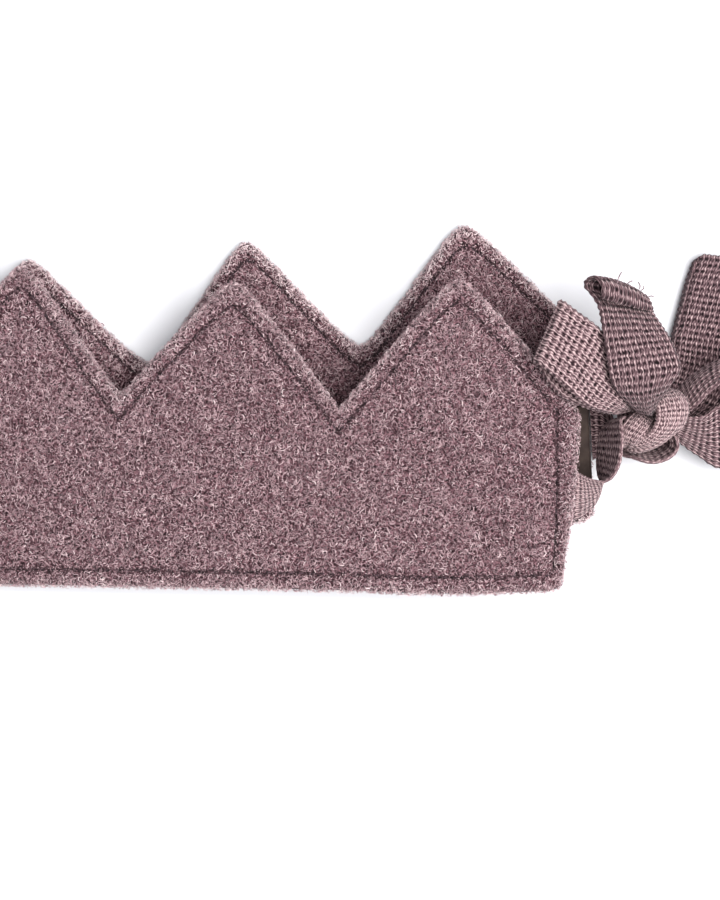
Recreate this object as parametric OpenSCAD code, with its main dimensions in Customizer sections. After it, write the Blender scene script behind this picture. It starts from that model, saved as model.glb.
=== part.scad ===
// A felt crown for a child, folded in half and lying on its side, its two ends tied by a bow of knitted tape.
// Millimetres. +Z is up from the table, +Y is the way the points point, +X runs from the fold to the bow.

/* [Felt] */
// Thickness of each of the two wool layers
felt_thick = 1.9; // [1.5:0.1:2.2]
// Space between the two layers
layer_gap = 0.2; // [0.1:0.05:0.4]
// How widely the tip of each point is rounded
tip_round = 2.8; // [1:0.1:6]

/* [Tape] */
// Thickness of the knitted tape
tape_thick = 1.1; // [0.8:0.1:1.3]
// Half the height of the knot
knot_half_height = 6.5; // [5:0.5:7.5]

/* [Label] */
// Width of the label, along the band
label_wide = 12; // [8:1:20]
// Length of the label, up the end of the band
label_long = 26; // [15:1:30]
// Thickness of the label
label_thick = 0.5; // [0.3:0.1:0.8]
// Height of the label's middle above the foot of the band
label_up = 27; // [20:1:40]

/* [Hidden] */

felt_colour = [0.55, 0.45, 0.47];
lining_colour = [0.5, 0.41, 0.43];
tape_colour = [0.6, 0.48, 0.5];
label_colour = [0.42, 0.35, 0.33];

// The band, from its fold to its open end. A row is a valley or a point, in turn, and the last is the end edge.
// Columns: foot x, foot y, height of the middle of the wall, lean to the right in degrees, height of the cut edge
FOOT_X = 0; FOOT_Y = 1; HEIGHT = 2; LEAN = 3; TOP = 4;
upper_half = [
    [-155.2, -44.8, 12.5, 1.2,  64.5],
    [-118.2, -45.6, 14,   1.5, 108],
    [ -83,   -45.9, 18,   1.8,  66],
    [ -46.9, -46.2, 23,   2,   104],
    [ -10.1, -46.6, 27,   2.5,  62],
    [  26.9, -47.6, 30,   3.2, 105.5],
    [  67.2, -46.6, 31,   4.6,  62],
];
lower_half = [
    [-143.5, -43.5, 2, -5,    64.5],
    [-106.6, -40.3, 2, -4.5, 107.5],
    [ -68.9, -36.3, 2, -4.5,  64.5],
    [ -31.1, -32.4, 2, -4.5, 106.5],
    [   5.7, -30,   2, -4.2,  64.5],
    [  42.4, -27.6, 2, -4,   106.5],
    [  81.8, -24.7, 2, -4.2,  64.5],
];
last_row = len(upper_half) - 1;
// Length of felt between a valley and a point
half_pitch = 37;
// Distance of the fold from the middle valley, at the foot of the band, and how much less it is for each mm up
fold_shift = 5.5;
fold_slant = 0.05;
// Steps between a valley and a point, next to the fold and elsewhere, and rows up the band
fold_steps = 14;
flank_steps = 8;
rows_up = 5;
// Steps nearer a point are finer by this power
tip_power = 1.4;
// Small steps along the rows and up the wall, for finding which way a surface faces
along_step = 0.01;
up_step = 0.5;

// A value between four neighbours on a smooth curve
function curve(a, b, c, d, t) =
    b + (c - a) * t / 2 + (a - 2.5 * b + 2 * c - d / 2) * t * t + (1.5 * (b - c) + (d - a) / 2) * t * t * t;
function row_at(rows, i) =
    i < 0 ? 2 * rows[0] - rows[1] :
    i >= len(rows) ? 2 * rows[len(rows) - 1] - rows[len(rows) - 2] : rows[i];
function smooth_row(rows, t) =
    let (i = min(floor(max(t, 0)), len(rows) - 2))
    curve(row_at(rows, i - 1), row_at(rows, i), row_at(rows, i + 1), row_at(rows, i + 2), t - i);

// Height of the cut edge of a half at t rows from the fold: straight flanks between round points and sharp valleys
function cut_height(rows, t) =
    let (i = min(floor(t), last_row - 1),
         tip = i % 2 == 0 ? i + 1 : i,
         valley = i % 2 == 0 ? i : i + 1,
         away = abs(t - tip) * half_pitch,
         drop = sqrt(pow(away, 2) + pow(tip_round, 2)) - tip_round,
         whole = sqrt(pow(half_pitch, 2) + pow(tip_round, 2)) - tip_round)
    rows[tip][TOP] - (rows[tip][TOP] - rows[valley][TOP]) * drop / whole;

// A place on the middle of a half's wall, up mm above its foot
function half_place(rows, t, up) =
    let (r = smooth_row(rows, t))
    [r[FOOT_X] + up * sin(r[LEAN]), r[FOOT_Y] + up * cos(r[LEAN]), r[HEIGHT]];

// A place on the middle of the whole band. t runs from -last_row at the lower end to last_row at the upper end.
function band_place(t, up) =
    let (fold_at = fold_shift - fold_slant * up,
         radius = (upper_half[0][HEIGHT] - lower_half[0][HEIGHT]) / 2,
         quarter = PI * radius / 2,
         along = t * half_pitch - fold_at)
    along >= quarter ? half_place(upper_half, t, up) :
    along <= -quarter ? half_place(lower_half, -t, up) :
    let (turn = 90 * along / quarter,
         over = half_place(upper_half, (fold_at + quarter) / half_pitch, up),
         under = half_place(lower_half, (quarter - fold_at) / half_pitch, up),
         share = (1 + sin(turn)) / 2)
    under + (over - under) * share - [radius * cos(turn), 0, 0];

function band_cut(t) = t >= 0 ? cut_height(upper_half, t) : cut_height(lower_half, -t);
function unit(v) = v / norm(v);
function outward(t, up) =
    unit(cross(band_place(t + along_step, up) - band_place(t - along_step, up),
               band_place(t, up + up_step) - band_place(t, up - up_step)));

// Where the columns of the mesh stand: close together at the points and round the fold
half_columns = concat(
    [for (k = [1 : fold_steps]) k / fold_steps],
    [for (i = [1 : last_row - 1], k = [1 : flank_steps])
        i % 2 == 1 ? i + pow(k / flank_steps, tip_power) : i + 1 - pow(1 - k / flank_steps, tip_power)]);
band_columns = concat([for (k = [len(half_columns) - 1 : -1 : 0]) -half_columns[k]], [0], half_columns);

// A closed solid from stations, each a ring of points in the same turn, with its faces as triangles
module skin(rings) {
    ring = len(rings[0]);
    sides = [for (s = [0 : len(rings) - 2], k = [0 : ring - 1])
        let (a = s * ring + k, b = s * ring + (k + 1) % ring, c = a + ring, d = b + ring)
        each [[a, b, d], [a, d, c]]];
    last = (len(rings) - 1) * ring;
    half = ring / 2;
    caps = [for (k = [0 : half - 2])
        let (a = k, b = k + 1, c = ring - 2 - k, d = ring - 1 - k)
        each [[a, d, c], [a, c, b], [last + a, last + c, last + d], [last + a, last + b, last + c]]];
    polyhedron([for (r = rings) each r], concat(sides, caps), convexity = 8);
}

// A ring of a sheet: along its face and back along its reverse
function felt_ring(t, near, far) =
    let (cut = band_cut(t),
         ups = [for (k = [0 : rows_up]) cut * k / rows_up])
    concat([for (up = ups) band_place(t, up) + outward(t, up) * far],
           [for (k = [rows_up : -1 : 0]) band_place(t, ups[k]) + outward(t, ups[k]) * near]);
outer_rings = [for (t = band_columns) felt_ring(t, layer_gap / 2, layer_gap / 2 + felt_thick)];
lining_rings = [for (t = band_columns) felt_ring(t, -layer_gap / 2 - felt_thick, -layer_gap / 2)];

// The tape. A row is a place along it, and gives its two selvedges there.
// Columns: x, y and z of one selvedge, then x, y and z of the other
tie_upper_rows = [
    [71.2, -5.5, 31,   69.6, -26.5, 31],
    [72.6, -6.8, 30.8, 72,   -25.8, 29],
    [74,   -8,   30.2, 74.8, -24.8, 22],
    [75.5, -8.6, 29.5, 77.5, -23,   15.5],
    [78,   -9.2, 28.7, 80.5, -17,    9.5],
    [80.5, -9.8, 28,   82.5, -12.5,  7],
    [82.5, -9.3, 27.8, 81.7,  -9.2,  6.5],
    [84.5, -7.5, 27.5, 81,    -6,    6.8],
    [86,   -5,   27.5, 81,    -3.5,  7],
    [87,   -2,   27.5, 81,    -0.5,  7],
    [87.5,  3.5, 27,   81.5,   3.5,  7],
    [87.2,  7.5, 26,   83,     7.5,  8.5],
    [87.5, 10.2, 24,   86,    10,   13],
];
tie_lower_rows = [
    [ 79,   18.5,  2,    80.6, -3.5,  2],
    [ 84.5, 16.5,  2,    85.5, -2,    2],
    [ 87.5, 10.5,  4,    89,   -1.5,  2.5],
    [ 89.5,  4,   10,    91,   -1,    2.5],
    [ 91.5, -1,   16,    94,   -2,    3],
    [ 96,   -3,   17,    97.5, -4,    3.5],
    [100.3, -3,   16.5, 102,   -4,    4],
    [104.3, -1,   15.5, 106,   -2,    5],
    [106.2,  2.5, 15.2, 107.8,  2,    7],
    [104,    6.2, 16.2, 105,    5.7, 10],
];
loop_left_rows = [
    [91.8, 15.2, 24,   89.8, 13.3, 23.3],
    [93,   21,   32,   83,   12.5, 31.5],
    [86,   32,   36,   74.5, 14.5, 37],
    [78,   40,   39,   68,   20.5, 40.5],
    [71,   45,   41,   62.5, 26,   41.5],
    [67,   48,   41.5, 58.5, 29.5, 41.5],
    [65.5, 49,   38.8, 57,   30.5, 38.8],
    [67.5, 47.5, 36,   58.5, 29,   36],
    [73.5, 42,   35.5, 62.5, 21.5, 35.7],
    [80.5, 34.5, 34.5, 67.5, 17,   35.6],
    [87.5, 26,   30.5, 76,   13.5, 32],
    [91.5, 19,   24,   84.5, 12,   26],
    [92.5, 15.8, 20.5, 89.8, 13,   21],
];
loop_right_rows = [
    [109,   15,   23.5, 107.2, 20.3, 15.5],
    [113.5, 16.5, 26,   113.5, 24.5,  9],
    [119.5, 21.5, 28,   123.5, 29,    7.5],
    [128,   25,   28,   133,   33.5,  8],
    [135,   25.5, 27,   142.5, 33,    8],
    [140,   22,   26,   150,   26.5,  7.5],
    [141.5, 17.5, 25,   153.5, 16,    7],
    [138.5, 14,   23.5, 150.5,  3.5,  8],
    [131,   13,   22,   138,   -4.5,  9],
    [121,   14,   20.5, 123.5, -6,   10],
    [115,   12.5, 21,   115,   -2.5, 12],
    [109,   10.3, 22,   106.6,  4.4, 16.8],
];
tail_left_rows = [
    [ 95,  15.8, 23,    98.6, 16,   23],
    [ 91,  16.7, 33.5,  99,  18.5, 35],
    [ 84,  19,   38,   100.5, 22,  39],
    [ 81.5, 24,  40.5, 103.5, 28,  39.5],
    [ 80,  32,   42,   101.5, 35,  39],
    [ 78.5, 41,  41.5,  98.5, 41,  37.5],
    [ 77.5, 48,  39,    96.5, 45,  35],
    [ 75.5, 53.3, 37,   96.2, 48,  33.2],
    [ 74.2, 55.6, 38,   95.8, 49.7, 34.2],
    [ 74.2, 53.5, 39.7, 96,   47.8, 35.8],
    [ 76.5, 49.3, 41.3, 96,   45.7, 37.3],
];
tail_right_rows = [
    [104.8, 17.6, 15.5, 109, 17,   14],
    [106.5, 23.5,  9,   118, 21,    7.5],
    [108,   30,    7,   129, 27,    5],
    [107.5, 39,    6.5, 129.5, 36,  5],
    [110,   48.5,  6,   132, 45.5,  5],
    [112.5, 58,    5.5, 134.5, 55.5, 5],
    [115,   65,    5,   137, 62.5,  4.5],
    [115.8, 67.3,  3.9, 137.8, 64.8, 3.5],
    [115.3, 65.5,  2.4, 137.3, 63,  2],
    [114,   60,    2,   136, 57.5,  1.6],
];
// Steps along the tape for each row, and steps across it
tape_steps = 3;
tape_across = 2;

function tape_middle(rows, t) =
    let (r = smooth_row(rows, t))
    [r[0] + r[3], r[1] + r[4], r[2] + r[5]] / 2;
function tape_ring(rows, t) =
    let (r = smooth_row(rows, t),
         one = [r[0], r[1], r[2]],
         other = [r[3], r[4], r[5]],
         run = tape_middle(rows, t + along_step) - tape_middle(rows, t - along_step),
         face = unit(cross(run, other - one)) * tape_thick / 2)
    concat([for (k = [0 : tape_across]) one + (other - one) * k / tape_across + face],
           [for (k = [tape_across : -1 : 0]) one + (other - one) * k / tape_across - face]);
function tape_rings(rows) = [for (k = [0 : (len(rows) - 1) * tape_steps]) tape_ring(rows, k / tape_steps)];

// The knot: how far it reaches from its middle, seen from above, every 30 degrees from +X
knot_middle = [98, 9.9, 21];
knot_reach = [10.2, 11, 11.5, 4.6, 4.4, 6.6, 10.2, 11, 10, 8.6, 7.6, 8.4];
knot_steps = 2;
knot_rings_up = 8;
function knot_radius(angle) =
    let (n = len(knot_reach), t = angle * n / 360, i = floor(t))
    curve(knot_reach[(i + n - 1) % n], knot_reach[i % n], knot_reach[(i + 1) % n], knot_reach[(i + 2) % n], t - i);
function knot_ring(rise) =
    [for (k = [0 : len(knot_reach) * knot_steps - 1])
        let (angle = 360 - 360 * k / (len(knot_reach) * knot_steps), r = knot_radius(angle) * cos(rise))
        knot_middle + [r * cos(angle), r * sin(angle), knot_half_height * sin(rise)]];
// The ring nearest each end of the lump closes it with a small flat face
knot_end_rise = 80;
knot_rings = [for (k = [0 : knot_rings_up]) knot_ring(-knot_end_rise + 2 * knot_end_rise * k / knot_rings_up)];

// All of it is moved so that the middle of its box stands over the origin
all_points = [for (rings = [outer_rings, tape_rings(loop_right_rows), tape_rings(tail_right_rows)], r = rings) each r];
xs = [for (p = all_points) p[0]];
ys = [for (p = all_points) p[1]];
middle = [(min(xs) + max(xs)) / 2, (min(ys) + max(ys)) / 2, 0];

module outer_felt() {
    color(felt_colour) skin(outer_rings);
}

module lining_felt() {
    color(lining_colour) skin(lining_rings);
}

// The label lies on the lining of the lower half, beside its end edge
module end_label() {
    end = lower_half[last_row];
    margin = 0.5;
    seat_gap = 0.3;
    lift = end[HEIGHT] + layer_gap / 2 + felt_thick + seat_gap;
    color(label_colour)
        translate([end[FOOT_X], end[FOOT_Y], lift])
            rotate([0, 0, -end[LEAN]])
                translate([-label_wide - margin, label_up - label_long / 2, 0])
                    cube([label_wide, label_long, label_thick]);
}

module tie_upper() {
    color(tape_colour) skin(tape_rings(tie_upper_rows));
}

module tie_lower() {
    color(tape_colour) skin(tape_rings(tie_lower_rows));
}

module bow_knot() {
    color(tape_colour) skin(knot_rings);
}

module bow_loop_left() {
    color(tape_colour) skin(tape_rings(loop_left_rows));
}

module bow_loop_right() {
    color(tape_colour) skin(tape_rings(loop_right_rows));
}

module tail_left() {
    color(tape_colour) skin(tape_rings(tail_left_rows));
}

module tail_right() {
    color(tape_colour) skin(tape_rings(tail_right_rows));
}

translate(-middle) {
    outer_felt();
    lining_felt();
    end_label();
    tie_upper();
    tie_lower();
    bow_knot();
    bow_loop_left();
    bow_loop_right();
    tail_left();
    tail_right();
}
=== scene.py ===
import math

import bpy
import numpy as np
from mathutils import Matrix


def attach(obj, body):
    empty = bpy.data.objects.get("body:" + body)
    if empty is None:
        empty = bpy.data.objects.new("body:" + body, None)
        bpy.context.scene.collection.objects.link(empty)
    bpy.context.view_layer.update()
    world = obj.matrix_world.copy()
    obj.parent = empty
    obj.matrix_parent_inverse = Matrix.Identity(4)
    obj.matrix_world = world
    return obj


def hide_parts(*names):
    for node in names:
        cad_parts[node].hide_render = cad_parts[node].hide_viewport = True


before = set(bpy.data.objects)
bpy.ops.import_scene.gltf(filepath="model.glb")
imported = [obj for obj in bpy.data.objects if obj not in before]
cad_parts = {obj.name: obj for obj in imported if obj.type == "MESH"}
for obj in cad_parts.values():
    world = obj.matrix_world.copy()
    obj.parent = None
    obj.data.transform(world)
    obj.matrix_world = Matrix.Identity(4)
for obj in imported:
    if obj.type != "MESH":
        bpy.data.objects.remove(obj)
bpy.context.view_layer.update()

# The band of the crown: two layers of boiled wool cut to one zigzag pattern, sewn face to face and turned,
# so that every edge is a soft roll. It is folded in half at a valley. The lower half lies flat on the table,
# and the upper half rises towards the open ends.
# Sizes are in millimetres, and become metres where a mesh is made.
MM = 0.001
# Places in the rows are measured from the middle of the view, which is here in the part's frame
VIEW_MIDDLE = np.array([-1.751, -15.520, 0.0])
FELT_THICK = 1.9
LAYER_GAP = 0.2
# From a valley to the next point, along the band
HALF_PITCH = 37.0
# A row is a valley or a point in turn, from the fold to the open end:
# foot x, foot y, height of the middle of the wall, lean to the right in degrees, height of the cut edge
UPPER_HALF = np.array([
    [-155.2, -44.8, 12.5, 1.2, 64.0],
    [-118.0, -45.6, 14.0, 1.8, 107.6],
    [-83.0, -45.9, 18.0, 1.8, 63.4],
    [-45.8, -46.2, 23.0, 2.0, 102.2],
    [-9.5, -46.6, 27.0, 2.5, 59.6],
    [27.0, -47.6, 30.0, 3.2, 103.8],
    [66.2, -46.6, 31.0, 5.5, 60.4],
])
LOWER_HALF = np.array([
    [-143.5, -43.5, 2.0, -5.0, 63.0],
    [-106.6, -40.3, 2.0, -4.3, 105.3],
    [-67.6, -36.3, 2.0, -4.5, 61.0],
    [-31.3, -32.4, 2.0, -4.5, 103.6],
    [5.2, -30.0, 2.0, -4.2, 60.8],
    [42.6, -27.6, 2.0, -3.5, 104.8],
    [80.8, -24.7, 2.0, -2.4, 63.0],
])
FOOT_X, FOOT_Y, HEIGHT, LEAN, TOP = range(5)
LAST_ROW = len(UPPER_HALF) - 1
HALF_LENGTH = LAST_ROW * HALF_PITCH
TIP_ROUND = 2.8
UPPER_VALLEY_ROUND = 0.9
LOWER_VALLEY_ROUND = 5.2
# The fold lies this far past the valley at its foot, and runs back by this much to the mm up the band
FOLD_SHIFT = 5.5
FOLD_SLANT = 0.05
# The topstitch lies about this far inside the edge
STITCH_MARGIN = 6.3
STITCH_LONG = 4.0
# The roll of the turned edge is rounded over this width
ROLL_WIDE = 2.2
# The margin puffs up most this far outside the stitches, which sink into a groove with a shallow dip round it
PUFF_OUTSIDE = 3.2
MARGIN_PUFF = 0.8
GROOVE_DEEP = 1.2
DIP_DEEP = 0.2
# How far the cloth lies uneven, over 14 mm and over 5 mm
UNEVEN = 0.22
FINELY_UNEVEN = 0.12
# The open end of the upper half bows outwards over this length and height
END_BOW = 1.3
BOW_LONG = 40
BOW_TALL = 68
# The flanks of the points rise at about this slope
FLANK_COS = math.cos(math.atan2(42.0, HALF_PITCH))


def smooth_rows(rows, t):
    """The values of a table at t rows from its start, on a smooth curve through the rows."""
    longer = np.vstack([2 * rows[0] - rows[1], rows, 2 * rows[-1] - rows[-2]])
    i = np.clip(np.floor(np.maximum(t, 0)).astype(int), 0, len(rows) - 2)
    a, b, c, d = (longer[i + k] for k in range(4))
    s = (t - i)[..., None]
    return (b + (c - a) * s / 2 + (a - 2.5 * b + 2 * c - d / 2) * s**2
            + (1.5 * (b - c) + (d - a) / 2) * s**3)


def cut_height(rows, t, valley_round):
    """How far up the band its cut edge is: straight flanks between round points and narrower valleys."""
    i = np.minimum(np.floor(t), LAST_ROW - 1).astype(int)
    tip = np.where(i % 2 == 0, i + 1, i)
    valley = np.where(i % 2 == 0, i, i + 1)
    from_tip = np.abs(t - tip) * HALF_PITCH
    from_valley = np.abs(t - valley) * HALF_PITCH
    drop = np.hypot(from_tip, TIP_ROUND) - TIP_ROUND
    whole = math.hypot(HALF_PITCH, TIP_ROUND) - TIP_ROUND
    rise = np.where(valley != LAST_ROW, np.hypot(from_valley, valley_round) - from_valley, 0)
    return rows[tip, TOP] - (rows[tip, TOP] - rows[valley, TOP]) * drop / whole + rise


def band_cut(t):
    """The height of the cut edge, on the lower half where t is below 0 and on the upper half past it."""
    over = cut_height(UPPER_HALF, np.abs(t), UPPER_VALLEY_ROUND)
    under = cut_height(LOWER_HALF, np.abs(t), LOWER_VALLEY_ROUND)
    return np.where(t >= 0, over, under)


def half_place(rows, t, up):
    """A place on one half of the band, up mm above its foot."""
    r = smooth_rows(rows, t)
    lean = np.radians(r[..., LEAN])
    x = r[..., FOOT_X] + up * np.sin(lean)
    y = r[..., FOOT_Y] + up * np.cos(lean)
    return np.stack([x, y, r[..., HEIGHT]], -1) + VIEW_MIDDLE


def band_place(t, up):
    """A place on the middle of the band's wall, up mm above its foot. t is 0 at the fold's valley and counts
    rows from there, down to the lower end and up to the upper end."""
    fold_at = FOLD_SHIFT - FOLD_SLANT * up
    radius = (UPPER_HALF[0, HEIGHT] - LOWER_HALF[0, HEIGHT]) / 2
    quarter = math.pi * radius / 2
    along = t * HALF_PITCH - fold_at
    over = half_place(UPPER_HALF, np.where(along >= quarter, t, (fold_at + quarter) / HALF_PITCH), up)
    under = half_place(LOWER_HALF, np.where(along <= -quarter, -t, (quarter - fold_at) / HALF_PITCH), up)
    turn = np.clip(along / quarter, -1, 1) * math.pi / 2
    bent = under + (over - under) * ((1 + np.sin(turn)) / 2)[..., None]
    bent[..., 0] -= radius * np.cos(turn)
    bent = np.where((along <= -quarter)[..., None], under, bent)
    return np.where((along >= quarter)[..., None], over, bent)


def unit(v):
    """Vectors made 1 long."""
    return v / np.maximum(np.linalg.norm(v, axis=-1, keepdims=True), 1e-12)


def outward(t, up):
    """The direction that the outside of the band faces."""
    along = band_place(t + 0.01, up) - band_place(t - 0.01, up)
    across = band_place(t, up + 0.5) - band_place(t, up - 0.5)
    return unit(np.cross(along, across))


def hump(distance, wide):
    """1 at no distance, falling softly to nothing over about twice the width."""
    return np.exp(-((distance / wide) ** 2))


def waves(x, y, seed, wave_mm):
    """A soft unevenness, mostly from -1 to 1, whose hills are about wave_mm apart."""
    draw = np.random.default_rng(seed)
    total = np.zeros_like(x)
    for _ in range(9):
        angle, phase = draw.uniform(0, 2 * math.pi, 2)
        step = 2 * math.pi / (wave_mm * draw.uniform(0.7, 1.5))
        total += np.sin((x * math.cos(angle) + y * math.sin(angle)) * step + phase)
    return total / 5


def new_mesh(name, points, faces):
    """A smooth shaded mesh object from points in mm, on the crown's one body. None goes below the table."""
    points = points * MM
    points[:, 2] = np.maximum(points[:, 2], 0.02 * MM)
    mesh = bpy.data.meshes.new(name)
    mesh.from_pydata(points, [], faces)
    mesh.polygons.foreach_set("use_smooth", np.ones(len(mesh.polygons), bool))
    mesh.update()
    piece = bpy.data.objects.new(name, mesh)
    bpy.context.collection.objects.link(piece)
    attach(piece, "root")
    return piece


def closed_sheet(name, front, back):
    """A thin closed cloth from two grids of points. Both share the points of the front's border."""
    rows, columns = front.shape[:2]
    number = np.arange(rows * columns).reshape(rows, columns)
    under = number.copy()
    inner = (rows - 2, columns - 2)
    under[1:-1, 1:-1] = rows * columns + np.arange(inner[0] * inner[1]).reshape(inner)
    faces = []
    for n in (number, under[:, ::-1]):
        faces += np.stack([n[:-1, :-1], n[:-1, 1:], n[1:, 1:], n[1:, :-1]], -1).reshape(-1, 4).tolist()
    points = np.vstack([front.reshape(-1, 3), back[1:-1, 1:-1].reshape(-1, 3)])
    return new_mesh(name, points, faces)


def both_sides(values):
    """A value for each point of a closed sheet, from a grid of values that both sides share."""
    return np.concatenate([values.reshape(-1), values[1:-1, 1:-1].reshape(-1)])


def store(piece, name, values):
    """Keeps a number for each point of a piece, for its material."""
    numbers = piece.data.attributes.new(name, "FLOAT", "POINT")
    numbers.data.foreach_set("value", values.astype(np.float32).ravel())


# Distances of the first rows of the mesh from the edge. They are close together along the roll and the stitch
# line, which is row STITCH_STEP.
EDGE_STEPS = np.array([0, 0.2, 0.6, 1.1, 1.8, 2.6, 3.6, 4.7, 5.5, 5.95, 6.3, 6.65, 7.1, 8.0, 9.2])
STEPS = len(EDGE_STEPS)
STITCH_STEP = 10
COLUMNS_A_FLANK = 24
INNER_ROWS = 24
# The columns of a flank crowd by this share towards its point and its valley
CROWDING = 0.42
flank = np.arange(COLUMNS_A_FLANK) / COLUMNS_A_FLANK
flank = flank - CROWDING * np.sin(2 * math.pi * flank) / (2 * math.pi)
flat_x = np.concatenate([(k + flank) * HALF_PITCH for k in range(-LAST_ROW, LAST_ROW)] + [[HALF_LENGTH]])
flat_x = flat_x[np.abs(flat_x) < HALF_LENGTH - EDGE_STEPS[-1] - 0.4]
between = np.linspace(0, 1, INNER_ROWS + 2)[1:-1, None]
# The line of stitches was sewn by eye, so it is nearer to some edges than to others. Along the foot, up the
# two ends and along the points, these are its shares of STITCH_MARGIN.
FOOT_SHARE = 0.86
side_share = 0.5 + 0.5 * np.vstack([np.zeros((STEPS, 1)), between, np.ones((STEPS, 1))])
x_grid = np.hstack([EDGE_STEPS * side_share - HALF_LENGTH, np.tile(flat_x, (len(side_share), 1)),
                    HALF_LENGTH - EDGE_STEPS[::-1] * side_share])
top_share = 0.74 + 0.06 * np.tanh(x_grid / 10) + 0.05 * np.sin(x_grid / 8)
# The corners of the two ends are cut round: how far along, and what share of that up from the foot and down
LOWER_CORNER, UPPER_CORNER = 7.5, 4.5
CORNER_AT_FOOT, CORNER_AT_TOP = 0.55, 0.75
from_side = HALF_LENGTH - np.abs(x_grid)
corner_round = np.where(x_grid < 0, LOWER_CORNER, UPPER_CORNER)
corner = 1 - np.sqrt(1 - np.clip(1 - from_side / corner_round, 0, 1)**2)
t_grid = x_grid / HALF_PITCH
foot = corner_round * CORNER_AT_FOOT * corner
cut = band_cut(t_grid) - corner_round * CORNER_AT_TOP * corner
low = foot + EDGE_STEPS[-1] * FOOT_SHARE
high = cut - EDGE_STEPS[-1] * top_share / FLANK_COS
inner = np.s_[STEPS:-STEPS]
up_grid = np.vstack([foot[:STEPS] + EDGE_STEPS[:, None] * FOOT_SHARE,
                     low[inner] + (high - low)[inner] * between,
                     cut[-STEPS:] - EDGE_STEPS[::-1, None] * top_share[-STEPS:] / FLANK_COS])
# How far each point is from the edge, how far it is from the line of stitches, and where it is on a stitch
from_top = (cut - up_grid) * FLANK_COS
from_foot = up_grid - foot
from_edge = np.minimum(np.minimum(from_top, from_foot), from_side)
evenly_in = np.minimum(np.minimum(from_top / top_share, from_foot / FOOT_SHARE), from_side / side_share)
to_stitches = evenly_in - STITCH_MARGIN
along_stitches = np.where(from_side < np.minimum(from_top, from_foot), up_grid, x_grid)
stitch_phase = 2 * math.pi * along_stitches / STITCH_LONG


def wool_face(sign, seed):
    """How far a layer's visible face stands off the middle of the band: its roll, its puffed margin, the sunk
    stitch line and the uneven lie of the cloth."""
    roll = np.clip(from_edge / ROLL_WIDE, 0, 1)
    off = LAYER_GAP / 2 + FELT_THICK * np.sqrt(1 - (1 - roll) ** 2)
    pull = np.cos(stitch_phase)
    off += MARGIN_PUFF * hump(to_stitches + PUFF_OUTSIDE, 1.6) * (0.85 - 0.15 * pull)
    off -= GROOVE_DEEP * hump(to_stitches, 0.5) * (0.58 + 0.42 * pull) + DIP_DEEP * hump(to_stitches, 1.6)
    off += UNEVEN * waves(x_grid, up_grid, seed, 14) * roll
    off += FINELY_UNEVEN * waves(x_grid, up_grid, seed + 1, 5) * roll
    off = np.where(from_edge <= 0, LAYER_GAP / 2, np.maximum(off, LAYER_GAP / 2 + 0.05))
    return sign * off


def wool_place(off):
    """Places off the middle of the band by a grid of distances, with the bow of the open end."""
    place = band_place(t_grid, up_grid) + outward(t_grid, up_grid) * off[..., None]
    near_end = np.clip((x_grid - (HALF_LENGTH - BOW_LONG)) / BOW_LONG, 0, 1) ** 2
    place[..., 0] += END_BOW * near_end * np.sin(math.pi * np.clip(up_grid / BOW_TALL, 0, 1))
    return place


outer_face = wool_place(wool_face(1, 3))
lining_face = wool_place(wool_face(-1, 11))
outer_back = wool_place(np.full(up_grid.shape, LAYER_GAP / 2))
lining_back = wool_place(np.full(up_grid.shape, -LAYER_GAP / 2))
outer_felt = closed_sheet("outer_wool_layer", outer_face, outer_back)
lining_felt = closed_sheet("lining_wool_layer", lining_back, lining_face)


def linear(hex_colour):
    """An sRGB hex value as the linear colour that a shader takes."""
    parts = [int(hex_colour[i:i + 2], 16) / 255 for i in (1, 3, 5)]
    return [c / 12.92 if c <= 0.04045 else ((c + 0.055) / 1.055) ** 2.4 for c in parts] + [1]


def new_material(name):
    """An empty material made of nodes."""
    material = bpy.data.materials.new(name)
    material.use_nodes = True
    material.node_tree.nodes.clear()
    return material


def add_node(material, kind, settings=None, inputs=None):
    """Adds a node with its own settings. An input is a value, or the node or socket that feeds it."""
    made = material.node_tree.nodes.new(kind)
    for name, value in (settings or {}).items():
        if name != "stops":
            setattr(made, name, value)
            continue
        while len(made.color_ramp.elements) < len(value):
            made.color_ramp.elements.new(1)
        for element, (place, colour) in zip(made.color_ramp.elements, value):
            element.position, element.color = place, linear(colour)
    for name, value in (inputs or {}).items():
        if isinstance(value, bpy.types.Node):
            value = value.outputs[0]
        if isinstance(value, bpy.types.NodeSocket):
            material.node_tree.links.new(value, made.inputs[name])
        else:
            made.inputs[name].default_value = value
    return made


# Boiled wool: knitted, then shrunk until its loops felt into one thick curly cloth. It is matt, and what
# shows between its curls is uneven at about 1 mm. Its colour follows the noise of its bump, so the hollows
# are painted dark as shade. Along the stitch line it is painted darker still, as the shade of the sunk groove.
boiled_wool = new_material("boiled_wool")
where = add_node(boiled_wool, "ShaderNodeTexCoord").outputs["Object"]
swirl = add_node(boiled_wool, "ShaderNodeTexNoise", None,
                 {"Vector": where, "Scale": 1 / (1.6 * MM), "Detail": 2.0})
swirled = add_node(boiled_wool, "ShaderNodeVectorMath", {"operation": "MULTIPLY_ADD"},
                   {0: swirl.outputs["Color"], 1: (2.2 * MM,) * 3, 2: where})
matted = add_node(boiled_wool, "ShaderNodeTexNoise", None,
                  {"Vector": swirled, "Scale": 1 / (0.7 * MM), "Detail": 3.0, "Roughness": 0.65})
pulled_in = add_node(boiled_wool, "ShaderNodeAttribute", {"attribute_name": "pulled_in"})
wool_tone_and_shade = add_node(boiled_wool, "ShaderNodeMath", {"operation": "MULTIPLY_ADD"},
                       {0: pulled_in.outputs["Fac"], 1: -0.2, 2: matted})
# Painted shade: the low parts of the bump's noise are coloured near black, as the shade in the hollows between
# the curls
wool_colour_and_hollow_shade = add_node(boiled_wool, "ShaderNodeValToRGB",
                         {"stops": [(0.38, "#1a1012"), (0.5, "#473136"), (0.64, "#886b70")]},
                         {"Fac": wool_tone_and_shade})
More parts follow.
